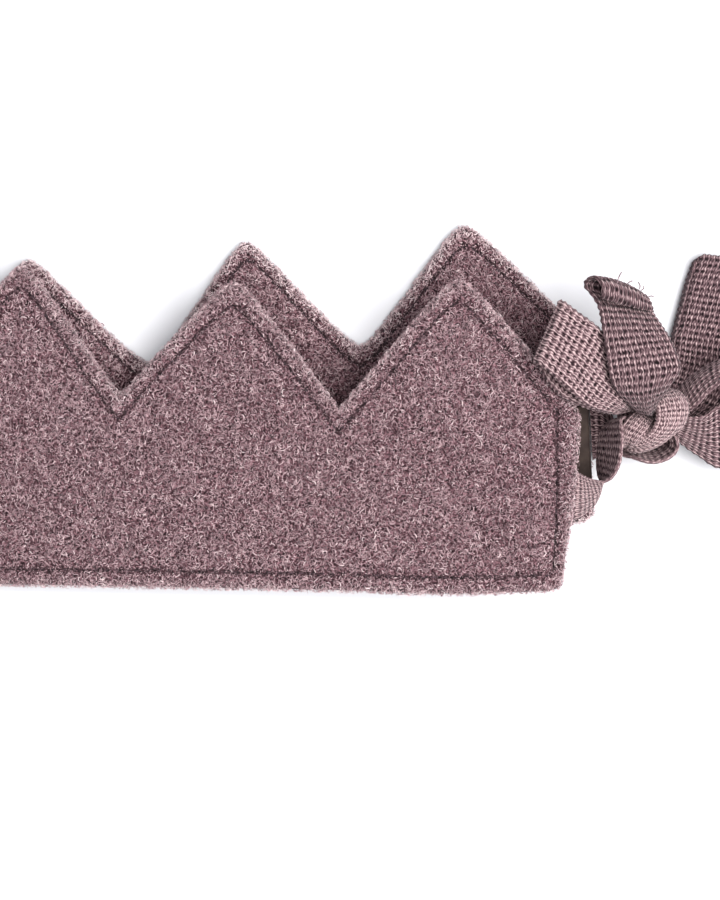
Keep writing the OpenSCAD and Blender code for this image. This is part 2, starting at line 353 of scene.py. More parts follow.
matted_relief = add_node(boiled_wool, "ShaderNodeBump", None,
                         {"Height": matted, "Strength": 0.9, "Distance": 0.5 * MM})
wool_skin = add_node(boiled_wool, "ShaderNodeBsdfPrincipled", None, {
    "Base Color": wool_colour_and_hollow_shade, "Normal": matted_relief, "Roughness": 0.95, "Sheen Weight": 0.15,
    "Specular IOR Level": 0.15})
add_node(boiled_wool, "ShaderNodeOutputMaterial", None, {"Surface": wool_skin})
# The pull of the stitches, strongest at each stitch. It thins the curls along the stitch line, and it is
# painted as the shade of the sunk groove on the wool and on its curls.
STITCH_PULL_AND_SHADE = both_sides(hump(to_stitches, 0.7) * (0.68 + 0.32 * np.cos(stitch_phase)))
for layer, groove_shade_strength in ((outer_felt, 0.6), (lining_felt, 0.8)):
    layer.data.materials.append(boiled_wool)
    store(layer, "pulled_in", STITCH_PULL_AND_SHADE * groove_shade_strength)

# The curls: short locks of fibre that stand out of the boiled wool, lying every way over each other. A
# single wool fibre of 0.02 mm doesn't show, so each is drawn as thick as a small lock, and lighter or darker
# than the next.
wool_curls = new_material("boiled_wool_curls")
lock_tone = add_node(wool_curls, "ShaderNodeAttribute", {"attribute_name": "tone"})
lock_colour = add_node(wool_curls, "ShaderNodeValToRGB",
                       {"stops": [(0.0, "#483338"), (0.35, "#896e73"), (0.65, "#b3989b"), (1.0, "#e4d3d3")]},
                       {"Fac": lock_tone.outputs["Fac"]})
lock = add_node(wool_curls, "ShaderNodeBsdfPrincipled", None, {
    "Base Color": lock_colour, "Roughness": 0.85, "Sheen Weight": 0.2, "Specular IOR Level": 0.2})
add_node(wool_curls, "ShaderNodeOutputMaterial", None, {"Surface": lock})


def scatter(piece, per_mm2, draw):
    """Random places on a piece, with as many to the square mm as per_mm2 says at each of its points.
    Gives the places, their normals, and a function for the value there of a number kept for each point."""
    mesh = piece.data
    mesh.calc_loop_triangles()
    corners = np.empty(len(mesh.loop_triangles) * 3, np.int32)
    mesh.loop_triangles.foreach_get("vertices", corners)
    corners = corners.reshape(-1, 3)
    points, normals = np.empty(len(mesh.vertices) * 3), np.empty(len(mesh.vertices) * 3)
    mesh.vertices.foreach_get("co", points)
    mesh.vertices.foreach_get("normal", normals)
    points, normals = points.reshape(-1, 3) / MM, normals.reshape(-1, 3)
    a, b, c = (points[corners[:, k]] for k in range(3))
    wanted = np.linalg.norm(np.cross(b - a, c - a), axis=1) / 2 * per_mm2[corners].mean(1)
    count = int(round(wanted.sum()))
    chosen = corners[draw.choice(len(corners), count, p=wanted / wanted.sum())]
    u, v = draw.random((2, count, 1))
    u, v = np.where(u + v > 1, 1 - u, u), np.where(u + v > 1, 1 - v, v)
    share = np.hstack([1 - u - v, u, v])

    def there(values):
        return (values[chosen] * share.reshape(share.shape + (1,) * (values.ndim - 1))).sum(1)

    return there(points), unit(there(normals)), there


def lie(normal, angle):
    """Directions that lie in the surface, turned by an angle."""
    across = unit(np.cross(normal, [0.3, 0.5, 0.81]))
    return across * np.cos(angle)[:, None] + np.cross(normal, across) * np.sin(angle)[:, None]


def fibres(place, normal, along, long, turn, lift, thick, sink, rings):
    """Points and faces of curved fibres with pointed ends and rings of three points between. turn is how far
    each bends in radians, lift how high its middle stands and sink how deep its ends go."""
    side = np.cross(normal, along)
    s = np.linspace(-0.5, 0.5, rings + 2)
    bend = np.where(np.abs(turn) < 0.05, 0.05, turn)[:, None]
    x = np.sin(s * bend) * long[:, None] / bend
    y = (1 - np.cos(s * bend)) * long[:, None] / bend
    h = (lift + sink)[:, None] * (1 - (2 * s) ** 2) ** 0.6 - sink[:, None]
    line = place[:, None] + x[..., None] * along[:, None]
    line = line + y[..., None] * side[:, None] + h[..., None] * normal[:, None]
    run = unit(line[:, 2:] - line[:, :-2])
    flat = unit(np.cross(normal[:, None], run))
    rise = np.cross(run, flat)
    round_it = np.radians([90, 210, 330])[:, None]
    ring = flat[:, :, None] * np.cos(round_it) + rise[:, :, None] * np.sin(round_it)
    body = line[:, 1:-1, None] + ring * thick[:, None, None, None] / 2
    points = np.concatenate([line[:, :1], body.reshape(len(place), -1, 3), line[:, -1:]], 1)
    end = 3 * rings + 1
    tips = [[0, 2, 1], [0, 3, 2], [0, 1, 3]]
    tips += [[end, end - 3, end - 2], [end, end - 2, end - 1], [end, end - 1, end - 3]]
    sides = [[3 * ring + k, 3 * ring + m, 3 * ring + m + 3, 3 * ring + k + 3]
             for ring in range(rings - 1) for k, m in ((1, 2), (2, 3), (3, 1))]
    start = np.arange(len(place))[:, None, None] * (end + 1)
    faces = (start + tips).reshape(-1, 3).tolist()
    if sides:
        faces += (start + sides).reshape(-1, 4).tolist()
    return points, faces


def fibre_piece(name, groups, tones, material):
    """One piece from groups of fibres, each with its tone."""
    points, faces, kept = [], [], []
    for (group_points, group_faces), tone in zip(groups, tones):
        first = sum(len(p) for p in points)
        faces += [[first + corner for corner in face] for face in group_faces]
        points.append(group_points.reshape(-1, 3))
        kept.append(np.repeat(tone, group_points.shape[1]))
    piece = new_mesh(name, np.vstack(points), faces)
    store(piece, "tone", np.clip(np.concatenate(kept), 0, 1))
    piece.data.materials.append(material)
    return piece


# The two kinds of curl: their share, rings of points, shortest and longest in mm and most turn in radians
CURL_KINDS = ((0.74, 1, 0.9, 2.1, 1.6), (0.26, 2, 1.9, 3.6, 4.2))
CURL_TONE = 0.475
NEAR_STITCHES = both_sides(hump(to_stitches, 1.3))
NEAR_EDGE = both_sides(hump(from_edge, 1.5))
IN_MARGIN = both_sides(hump(from_edge, 4.0))


def curls_on(layer, name, per_mm2, seed, margin_highlight=0.08):
    """The curls of one layer. Neighbours lie in swirls, and faint lines of the knit run up the band. Curls
    are short along the stitches, where their tone is painted darker as the shade of the groove. In the
    margin outside the stitches their tone is painted paler, as a highlight on the puffed roll. Round the
    rolled edges they stand out further."""
    draw = np.random.default_rng(seed)
    groups, tones = [], []
    for portion, rings, shortest, longest, most_turn in CURL_KINDS:
        place, normal, there = scatter(layer, per_mm2 * portion, draw)
        n = len(place)
        # The stitch pull darkens the curls' tone here as painted shade of the groove
        pulled, near = there(STITCH_PULL_AND_SHADE), there(NEAR_STITCHES)
        angle = math.pi * waves(place[:, 0], place[:, 1], 31, 6) + draw.normal(0, 0.8, n)
        turn = draw.uniform(0.3, 1, n) * most_turn * draw.choice([-1, 1], n)
        long = draw.uniform(shortest, longest, n) * (1 - 0.55 * near)
        lift = draw.uniform(0.1, 0.6, n) * (1 - 0.7 * near) * (1 + 0.8 * there(NEAR_EDGE))
        thick = draw.uniform(0.22, 0.42, n)
        way = lie(normal, angle)
        groups.append(fibres(place, normal, way, long, turn, lift, thick, np.full(n, 0.2), rings))
        clump = waves(place[:, 0], place[:, 1], 21, 9) + waves(place[:, 0], place[:, 1], 22, 2.8)
        knit_line = waves(place[:, 0], place[:, 1] / 7, 23, 3.2)
        # Painted light and shade: paler in the margin as a highlight on the puffed roll, darker along the
        # stitches as the groove's shade
        tones.append(CURL_TONE + draw.normal(0, 0.18, n) + 0.06 * clump + 0.07 * knit_line
                     + margin_highlight * there(IN_MARGIN) - 0.28 * pulled)
    return fibre_piece(name, groups, tones, wool_curls)


def fuzz_on(layer, name, per_mm2, seed):
    """Fine pale hairs that stand off the rolled edges of a layer."""
    draw = np.random.default_rng(seed)
    place, normal, _ = scatter(layer, per_mm2, draw)
    n = len(place)
    along = lie(normal, draw.uniform(0, 2 * math.pi, n))
    long = draw.uniform(1.4, 3.6, n)
    turn = draw.uniform(-2.4, 2.4, n)
    lift = draw.uniform(0.4, 1.4, n)
    thick = draw.uniform(0.08, 0.15, n)
    hairs = fibres(place, normal, along, long, turn, lift, thick, np.full(n, 0.2), 2)
    return fibre_piece(name, [hairs], [draw.uniform(0.4, 1, n)], wool_curls)


# The label is sewn over the lining here, beside the open end of the lower half
LABEL_WIDE = 12.0
LABEL_LONG = 26.0
LABEL_UP = 27.0
# Curls to the square mm: dense where the cloth shows, and sparse under the crown and inside it
DENSE, SPARSE = 2.15, 0.2
# The lining shows from here up the back points, and for this length at the open end
BACK_POINTS_UP = 45
END_SHOWN = 26
is_upper = both_sides((x_grid >= 0).astype(float))
up_values = both_sides(up_grid)
x_values = both_sides(x_grid)
edge_values = both_sides(from_edge)
inside = (up_grid.shape[0] - 2) * (up_grid.shape[1] - 2)
at_border = (from_edge <= 0).astype(float).ravel()
outer_shown = np.concatenate([np.ones(up_grid.size), np.zeros(inside)]) * (1 - 0.7 * STITCH_PULL_AND_SHADE)
# No curl stands up under the label
across_label = x_values < LABEL_WIDE + 0.5 - HALF_LENGTH
under_label = across_label & (np.abs(up_values - LABEL_UP) < LABEL_LONG / 2 + 0.5)
lining_shown = np.concatenate([at_border, np.ones(inside)]) * (1 - 0.9 * STITCH_PULL_AND_SHADE) * ~under_label
left = x_values < HALF_LENGTH / 2
back_points = np.clip((up_values - BACK_POINTS_UP) / 12, 0, 1)
back_dense = SPARSE + (DENSE - SPARSE) * np.maximum(back_points, x_values < END_SHOWN - HALF_LENGTH)
outer_fuzzy = outer_shown * hump(edge_values - 0.6, 1.2) * (0.2 + 1.6 * is_upper)
lining_fuzzy = lining_shown * hump(edge_values - 0.6, 1.2) * (0.2 + 1.6 * (1 - is_upper))
outer_curls = [
    curls_on(outer_felt, "outer_wool_curls_left", outer_shown * DENSE * is_upper * left, 101),
    curls_on(outer_felt, "outer_wool_curls_right", outer_shown * DENSE * is_upper * ~left, 102),
    curls_on(outer_felt, "outer_wool_curls_under", outer_shown * SPARSE * (1 - is_upper), 103),
    fuzz_on(outer_felt, "outer_wool_fuzz", outer_fuzzy, 104),
]
lining_curls = [
    # The rim of the lower lining is painted paler still, as a highlight
    curls_on(lining_felt, "lining_wool_curls_lower", lining_shown * (1 - is_upper) * back_dense, 105,
             margin_highlight=0.36),
    curls_on(lining_felt, "lining_wool_curls_upper", lining_shown * SPARSE * is_upper, 106),
    fuzz_on(lining_felt, "lining_wool_fuzz", lining_fuzzy, 107),
]

# The topstitch: one row of spun thread round the whole band, 4 mm to the stitch, pulled down into the wool on
# both sides. Spun thread is matt. Its colour is painted near black, darker than the wool, as the shade of
# the groove it lies in. Its twist of 0.2 mm is drawn 0.5 mm long.
topstitch_thread = new_material("spun_topstitch_thread")
thread_where = add_node(topstitch_thread, "ShaderNodeTexCoord").outputs["Object"]
ply = add_node(topstitch_thread, "ShaderNodeTexNoise", None,
               {"Vector": thread_where, "Scale": 1 / (0.5 * MM), "Detail": 2.0})
thread_colour_and_groove_shade = add_node(topstitch_thread, "ShaderNodeValToRGB",
                         {"stops": [(0.35, "#24171b"), (0.65, "#5a464f")]}, {"Fac": ply})
thread = add_node(topstitch_thread, "ShaderNodeBsdfPrincipled", None,
                  {"Base Color": thread_colour_and_groove_shade, "Roughness": 0.7})
add_node(topstitch_thread, "ShaderNodeOutputMaterial", None, {"Surface": thread})
# The bare length of a stitch between its two ends, and the thread's thickness
STITCH_SHOWN = 2.7
THREAD_THICK = 0.45


def topstitch(name, face, side):
    """The stitches that show on one face of the band, along the stitch line on all four sides."""
    k = STITCH_STEP
    facing = unit(np.cross(np.gradient(face, axis=1), np.gradient(face, axis=0))) * side
    rounds = [np.s_[k, k:-k], np.s_[k:-k, -k - 1], np.s_[-k - 1, k:-k], np.s_[k:-k, k]]
    place, normal, along = [], [], []
    for which in rounds:
        line, up = face[which], facing[which]
        gone = np.concatenate([[0], np.cumsum(np.linalg.norm(np.diff(line, axis=0), axis=1))])
        at = np.arange(STITCH_LONG / 2, gone[-1], STITCH_LONG)
        start, middle, end = (np.stack([np.interp(at + step, gone, line[:, axis]) for axis in range(3)], -1)
                              for step in (-1.2, 0, 1.2))
        place.append(middle)
        along.append(unit(end - start))
        normal.append(np.stack([np.interp(at, gone, up[:, axis]) for axis in range(3)], -1))
    place, normal, along = np.vstack(place), unit(np.vstack(normal)), np.vstack(along)
    n = len(place)
    stitches = fibres(place, normal, along, np.full(n, STITCH_SHOWN), np.zeros(n), np.full(n, 0.2),
                      np.full(n, THREAD_THICK), np.full(n, 0.4), 2)
    return fibre_piece(name, [stitches], [np.full(n, 0.5)], topstitch_thread)


outer_stitches = topstitch("outer_topstitch", outer_face, 1)
lining_stitches = topstitch("lining_topstitch", lining_face, -1)
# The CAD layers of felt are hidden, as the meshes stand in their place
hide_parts("outer_felt")
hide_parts("lining_felt")

# The label: a bare strip of woven satin ribbon, sewn to the lining of the lower half beside its open end. Its
# two ends are turned under, so each end is a soft roll.
# How high its middle lies, its thickness, and how wide and how high the end rolls are
LABEL_HEIGHT = 4.95
LABEL_THICK = 0.28
END_ROLL = 1.8
ROLL_HIGH = 0.2
label_across, label_up = np.meshgrid(np.linspace(0, 1, 17), np.linspace(0, 1, 53))
label_t = LAST_ROW - (0.5 + LABEL_WIDE * (1 - label_across)) / HALF_PITCH
label_middle = half_place(LOWER_HALF, label_t, LABEL_UP + LABEL_LONG * (label_up - 0.5))
from_label_end = np.minimum(label_up, 1 - label_up) * LABEL_LONG
label_roll = np.sqrt(1 - np.clip(from_label_end / END_ROLL - 1, -1, 1) ** 2) * (from_label_end < 2 * END_ROLL)
label_half = LABEL_THICK / 2 + ROLL_HIGH * label_roll
label_uneven = 0.1 * waves(label_across * LABEL_WIDE, label_up * LABEL_LONG, 41, 9)
label_rise = LABEL_HEIGHT - label_middle[..., 2] + label_uneven
label_faces = []
for side in (1, -1):
    face = label_middle.copy()
    face[..., 2] += label_rise + side * label_half
    label_faces.append(face)
label = closed_sheet("woven_label", label_faces[0], label_faces[1])
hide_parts("end_label")

# Satin ribbon of fine polyester, washed dull: even, with only a faint sheen. Its colour is painted dark,
# as the deep shade it lies in beside the bow. Its threads of 0.1 mm are drawn 0.3 mm apart, and a wave
# texture of scale 0.314 has one band to the unit.
RIBBON_PITCH = 0.3 * MM
ribbon_satin = new_material("ribbon_satin")
ribbon_where = add_node(ribbon_satin, "ShaderNodeTexCoord").outputs["Object"]
weft = add_node(ribbon_satin, "ShaderNodeTexWave", {"bands_direction": "Y"},
                {"Vector": ribbon_where, "Scale": 0.314 / RIBBON_PITCH, "Distortion": 0.6,
                 "Detail Scale": 2.0})
worn = add_node(ribbon_satin, "ShaderNodeTexNoise", None,
                {"Vector": ribbon_where, "Scale": 1 / (4 * MM), "Detail": 3.0})
ribbon_tone = add_node(ribbon_satin, "ShaderNodeMath", {"operation": "MULTIPLY_ADD"},
                       {0: weft.outputs["Fac"], 1: 0.2, 2: worn})
ribbon_colour_and_shade = add_node(ribbon_satin, "ShaderNodeValToRGB",
                         {"stops": [(0.3, "#392e2b"), (0.85, "#51453f")]}, {"Fac": ribbon_tone})
weave_relief = add_node(ribbon_satin, "ShaderNodeBump", None,
                        {"Height": weft.outputs["Fac"], "Strength": 0.3, "Distance": 0.1 * MM})
ribbon = add_node(ribbon_satin, "ShaderNodeBsdfPrincipled", None, {
    "Base Color": ribbon_colour_and_shade, "Normal": weave_relief, "Roughness": 0.65, "Specular IOR Level": 0.2,
    "Sheen Weight": 0.1})
add_node(ribbon_satin, "ShaderNodeOutputMaterial", None, {"Surface": ribbon})
label.data.materials.append(ribbon_satin)

# The tape: a soft band knitted in ribs, 22 mm wide, dyed to match the wool. One length is caught in each end
# seam of the band, and the two are tied in a bow. Every tie, loop and tail is a piece of its own.
TAPE_WIDE = 22.0
TAPE_THICK = 1.1
# The knit's ribs across the tape, the length of one stitch along it, and the rows of mesh points to each
WALES = 12
COURSE = 2.2
STEPS_A_WALE = 4
STEPS_A_COURSE = 4
# The relief of the ribs, the tooth of each stitch at the selvedge, the width over which the selvedge is
# rounded, and the width over which it may curl
RIB_DEEP = 0.6
SELVEDGE_TOOTH = 0.45
SELVEDGE_ROUND = 0.8
CURL_WIDE = 3.2


def knit_height(wale, course, wales):
    """How high the knit stands, from 0 in the holes to 1 on the ribs. Both are counted in stitches, and the
    selvedges have no holes."""
    rib = 0.5 - 0.5 * np.cos(2 * math.pi * wale)
    rib = np.where((wale < 0.5) | (wale > wales - 0.5), 0.7, rib)
    bar = 0.5 + 0.5 * np.cos(2 * math.pi * course)
    return rib * (0.85 + 0.15 * bar) + (1 - rib) * 0.65 * bar


def tape(name, rows, pleats=0.0, curl=0.0, back=0.0, wales=WALES, course_long=COURSE):
    """A stretch of tape. A row is a place along it: x, y and z of its first selvedge, then of its other
    selvedge, and how far its middle stands off the line between them. pleats is how deep it creases where it
    is drawn together, curl how far its first selvedge rolls under, and back is 1 where the back of the knit
    shows, whose tone is drawn darker, partly as its own look and partly as painted shade. Gives the piece and
    its length."""
    rows = np.array(rows, float)
    rows[:, :3] += VIEW_MIDDLE
    rows[:, 3:6] += VIEW_MIDDLE
    dense = np.linspace(0, len(rows) - 1, 60 * (len(rows) - 1) + 1)
    at = smooth_rows(rows, dense)
    middle = (at[:, :3] + at[:, 3:6]) / 2
    gone = np.concatenate([[0], np.cumsum(np.linalg.norm(np.diff(middle, axis=0), axis=1))])
    long = gone[-1]
    courses = max(3, round(long / course_long))
    stations = np.linspace(0, courses, courses * STEPS_A_COURSE + 1)
    place = smooth_rows(rows, np.interp(stations * long / courses, gone, dense))
    one, other, arch = place[:, None, :3], place[:, None, 3:6], place[:, None, 6:]
    run = np.gradient((one + other)[:, 0], axis=0)[:, None]
    face = unit(np.cross(other - one, run))
    across = np.linspace(0, 1, wales * STEPS_A_WALE + 1)[None, :, None]
    wide = np.linalg.norm(other - one, axis=-1, keepdims=True)
    drawn = np.clip(1 - wide / TAPE_WIDE, 0, 1)
    wale, course = across[..., 0] * wales, stations[:, None]
    from_selvedge = np.minimum(across, 1 - across) * wide
    body = np.sqrt(1 - (1 - np.clip(from_selvedge / SELVEDGE_ROUND, 0, 1)) ** 2)
    rolled = np.clip(1 - across * wide / CURL_WIDE, 0, 1) ** 2
    stand = arch * 4 * across * (1 - across) + pleats * drawn * np.sin(across * 5 * math.pi) - curl * rolled
    relief = (RIB_DEEP * (knit_height(wale, course, wales) - 0.6))[..., None] * body * (1 - 0.6 * drawn)
    half = TAPE_THICK / 2 * body
    tooth = SELVEDGE_TOOTH * (0.5 + 0.5 * np.cos(2 * math.pi * course))[..., None]
    line = one + (other - one) * across + unit(other - one) * tooth * np.where(across == 0, -1, across == 1)
    piece = closed_sheet(name, line + face * (stand + half + relief), line + face * (stand - half - relief))
    closed = np.maximum(0.75 * drawn[..., 0], np.clip(2 - 4 * np.minimum(wale, wales - wale), 0, 1))
    store(piece, "closed", both_sides(np.broadcast_to(closed, (len(stations), wale.size))))
    store(piece, "back", np.full(len(piece.data.vertices), back))
    stitch = np.stack(np.broadcast_arrays(wale, course), -1)
    stitch = np.vstack([stitch.reshape(-1, 2), stitch[1:-1, 1:-1].reshape(-1, 2)])
    corners = np.empty(len(piece.data.loops), np.int32)
    piece.data.loops.foreach_get("vertex_index", corners)
    stitch_map = piece.data.uv_layers.new(name="stitches")
    stitch_map.data.foreach_set("uv", stitch[corners].astype(np.float32).ravel())
    piece.data.materials.append(rib_knit)
    return piece, long


def bow_piece(node, rows, pleats=0.0, curl=0.0, back=0.0):
    """A tie, loop or tail of the bow in place of its CAD node, as a sheet of its real length."""
    piece, long = tape("knitted_" + node, rows, pleats, curl, back)
    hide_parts(node)


# Rib knit of soft spun yarn, which is matt: pale strands run along it in ribs, with small holes between
# the ribs, one to a stitch. No two holes are quite alike, and they close where the tape is drawn together.
# The holes are painted dark as the shade in them, and thin highlights are painted along the strands. The
# same tone gives the relief.
rib_knit = new_material("rib_knit")
# The map "stitches" counts ribs across and stitches along, and a wave of this scale has one band to each
ONE_BAND = 0.31416
in_stitches = add_node(rib_knit, "ShaderNodeUVMap", {"uv_map": "stitches"})
knit_where = add_node(rib_knit, "ShaderNodeTexCoord").outputs["Object"]
loose = add_node(rib_knit, "ShaderNodeTexNoise", None,
                 {"Vector": knit_where, "Scale": 1 / (1.8 * MM), "Detail": 2.0})
nudged = add_node(rib_knit, "ShaderNodeVectorMath", {"operation": "MULTIPLY_ADD"},
                  {0: loose.outputs["Color"], 1: (0.35, 0.5, 0.0), 2: in_stitches})
hole_middles = add_node(rib_knit, "ShaderNodeVectorMath", {"operation": "ADD"},
                        {0: nudged, 1: (-0.025, -0.6, 0.0)})
hole_cell = add_node(rib_knit, "ShaderNodeTexVoronoi", {"voronoi_dimensions": "2D"},
                     {"Vector": hole_middles, "Scale": 1.0, "Randomness": 0.3})
hole_kind = add_node(rib_knit, "ShaderNodeSeparateColor", None, {"Color": hole_cell.outputs["Color"]})
hole_far = add_node(rib_knit, "ShaderNodeMath", {"operation": "MULTIPLY_ADD"},
                    {0: hole_kind.outputs["Green"], 1: 0.14, 2: hole_cell.outputs["Distance"]})
hole_shape = add_node(rib_knit, "ShaderNodeMapRange", {"interpolation_type": "SMOOTHSTEP"},
                      {"Value": hole_far, "From Min": 0.12, "From Max": 0.4, "To Min": 1.0, "To Max": 0.0})
hole_deep = add_node(rib_knit, "ShaderNodeMath", {"operation": "MULTIPLY_ADD"},
                     {0: hole_kind.outputs["Red"], 1: 0.45, 2: 0.5})
closed_here = add_node(rib_knit, "ShaderNodeAttribute", {"attribute_name": "closed"})
still_open = add_node(rib_knit, "ShaderNodeMath", {"operation": "SUBTRACT"},
                      {0: 1.0, 1: closed_here.outputs["Fac"]})
hole_full = add_node(rib_knit, "ShaderNodeMath", {"operation": "MULTIPLY"}, {0: hole_shape, 1: hole_deep})
hole_depth_and_shade = add_node(rib_knit, "ShaderNodeMath", {"operation": "MULTIPLY"}, {0: hole_full, 1: still_open})
ribs = add_node(rib_knit, "ShaderNodeTexWave", {"bands_direction": "X"},
                {"Vector": hole_middles, "Scale": ONE_BAND, "Distortion": 0.0})
bars = add_node(rib_knit, "ShaderNodeTexWave", {"bands_direction": "Y"},
                {"Vector": hole_middles, "Scale": ONE_BAND, "Distortion": 0.0})
strand_lines = add_node(rib_knit, "ShaderNodeVectorMath", {"operation": "MULTIPLY"},
                        {0: nudged, 1: (5.0, 1.5, 0.0)})
strands = add_node(rib_knit, "ShaderNodeTexNoise", None,
                   {"Vector": strand_lines, "Scale": 1.0, "Detail": 2.0})
legs = add_node(rib_knit, "ShaderNodeVectorMath", {"operation": "MULTIPLY_ADD"},
                {0: bars.outputs["Color"], 1: (0.16, 0.0, 0.0), 2: nudged})
strand_pairs = add_node(rib_knit, "ShaderNodeTexWave", {"bands_direction": "X"},
                        {"Vector": legs, "Scale": 2 * ONE_BAND, "Distortion": 1.2, "Detail Scale": 2.5})
# Painted highlights: thin pale lines along the strands
strand_highlights = add_node(rib_knit, "ShaderNodeMapRange", {"interpolation_type": "SMOOTHSTEP"}, {
    "Value": strand_pairs.outputs["Fac"], "From Min": 0.3, "From Max": 1.0, "To Min": -0.01, "To Max": 0.25})
pair_tone = add_node(rib_knit, "ShaderNodeMath", {"operation": "ADD"}, {0: strand_highlights, 1: strands})
bar_tone = add_node(rib_knit, "ShaderNodeMath", {"operation": "MULTIPLY_ADD"},
                    {0: bars.outputs["Fac"], 1: 0.2, 2: pair_tone})
strand_tone = add_node(rib_knit, "ShaderNodeMath", {"operation": "MULTIPLY_ADD"},
                       {0: ribs.outputs["Fac"], 1: 0.14, 2: bar_tone})
# The back of the knit is drawn darker: partly its own look, partly painted shade where the tape lies low or
# inside the bow
back_face_and_shade = add_node(rib_knit, "ShaderNodeAttribute", {"attribute_name": "back"})
face_and_shade_tone = add_node(rib_knit, "ShaderNodeMath", {"operation": "MULTIPLY_ADD"},
                     {0: back_face_and_shade.outputs["Fac"], 1: -0.16, 2: strand_tone})
# Painted shade: the holes darken the tone towards near black
knit_tone = add_node(rib_knit, "ShaderNodeMath", {"operation": "MULTIPLY_ADD"},
                     {0: hole_depth_and_shade, 1: -0.52, 2: face_and_shade_tone})
knit_colour = add_node(rib_knit, "ShaderNodeValToRGB", {"stops": [
    (0.0, "#100809"), (0.26, "#2a1c20"), (0.5, "#4b3a3d"), (0.72, "#725d60"), (1.0, "#b49e9d")]},
    {"Fac": knit_tone})
knit_relief = add_node(rib_knit, "ShaderNodeBump", None,
                       {"Height": knit_tone, "Strength": 0.8, "Distance": 0.6 * MM})
yarn = add_node(rib_knit, "ShaderNodeBsdfPrincipled", None, {
    "Base Color": knit_colour, "Normal": knit_relief, "Roughness": 0.9, "Sheen Weight": 0.1,
    "Specular IOR Level": 0.2})
add_node(rib_knit, "ShaderNodeOutputMaterial", None, {"Surface": yarn})

# The upper tie: the tape from the end seam of the upper half, where it is sewn in between the two layers, to
# the knot. It starts flat and turns down on its edge, like a wall beside the band's end.
TIE_UPPER = [
    [71.2, -6.8, 31, 69.4, -23.6, 30, 0],
    [72.6, -7.8, 30.8, 73, -22.6, 26, 0.3],
    [74.2, -8.6, 30.2, 76.4, -20.8, 20, 0.8],
    [76, -9.3, 29.5, 79.4, -18.3, 15, 1],
    [78.4, -10, 28.7, 81.6, -14.8, 10.5, 0.8],
    [81, -10.5, 28, 82.6, -11.4, 7.4, 0],
    [83.2, -9.7, 27.8, 81.9, -8.8, 6.6, 0],
    [85, -7.7, 27.5, 81.4, -5.8, 6.8, 0],
    [86.3, -5, 27.5, 81.3, -3.3, 7, 0],
    [87, -2, 27.5, 81.3, -0.5, 7, 0],
    [87.6, 3.5, 27, 81.8, 3.5, 7, 0],
    [87.4, 7.5, 26, 83.2, 7.5, 8.5, 0],
    [87.7, 10.2, 24, 86, 10, 13, 0],
    [91, 11.3, 22, 90.5, 10.5, 16, 0],
]
bow_piece("tie_upper", TIE_UPPER, back=0.3)

# The lower tie: the tape from the end seam of the lower half, where it is sewn in, to the knot. It starts flat
# on the table, stands up on its edge and curls round on the side of the knot that is away from the points.
TIE_LOWER = [
    [79, 18.7, 2.2, 80.2, -3.2, 2.2, 0],
    [83.6, 17.2, 2, 84.8, -2.2, 2, 0],
    [87.5, 10.5, 4, 88.8, -0.4, 2.5, 0],
    [88.6, -0.2, 13, 89.8, 2.6, 2.5, 0],
    [92.4, -2.4, 18, 92.4, 1.6, 2, 0],
    [97.8, -4.1, 20, 97.4, 0.4, 2, 0],
    [102.4, -3.4, 20, 101.6, 1, 2.4, 0],
    [106, -1, 19, 104.4, 2.8, 3.4, 0],
    [107, 2, 18, 105, 5, 5, 0],
    [105.4, 5.6, 17.4, 104.2, 7.2, 8.5, 0],
    [101.5, 8, 17, 101, 8.4, 12, 0],
]
bow_piece("tie_lower", TIE_LOWER, pleats=1.6, back=0.3)

# The left loop of the bow: the tape leaves the knot high above the table, towards the points, folds flat on
# itself and comes back underneath. Only the knot holds it.
LOOP_LEFT = [
    [95, 12, 18.5, 93.5, 10.5, 18.5, 0],
    [91.8, 15.2, 24, 89.8, 13.3, 23.3, 0],
    [93, 21, 32, 83, 12.5, 31.5, -0.4],
    [86, 32, 36, 74.5, 14.5, 37, -0.8],
    [78, 40, 39, 68, 20, 40.5, -0.8],
    [71, 45, 41, 62.5, 24.7, 41.5, -0.6],
    [67, 48, 41.5, 58.3, 28.2, 41.5, -0.3],
    [65.5, 49, 38.8, 56.8, 28.8, 38.8, 0],
    [67.5, 47.5, 36, 58.5, 27.5, 36, 0],
    [73.5, 42, 35.5, 62.5, 21.3, 35.7, 0],
    [80.5, 34.5, 34.5, 67.5, 17, 35.6, 0],
    [87.5, 26, 30.5, 76, 13.5, 32, 0],
    [91.5, 19, 24, 84.5, 12, 26, 0],
    [92.5, 15.8, 20.5, 89.8, 13, 21, 0],
    [95.5, 12.5, 16.5, 94.5, 11, 16.5, 0],
]
bow_piece("bow_loop_left", LOOP_LEFT, pleats=0.8, back=0.25)

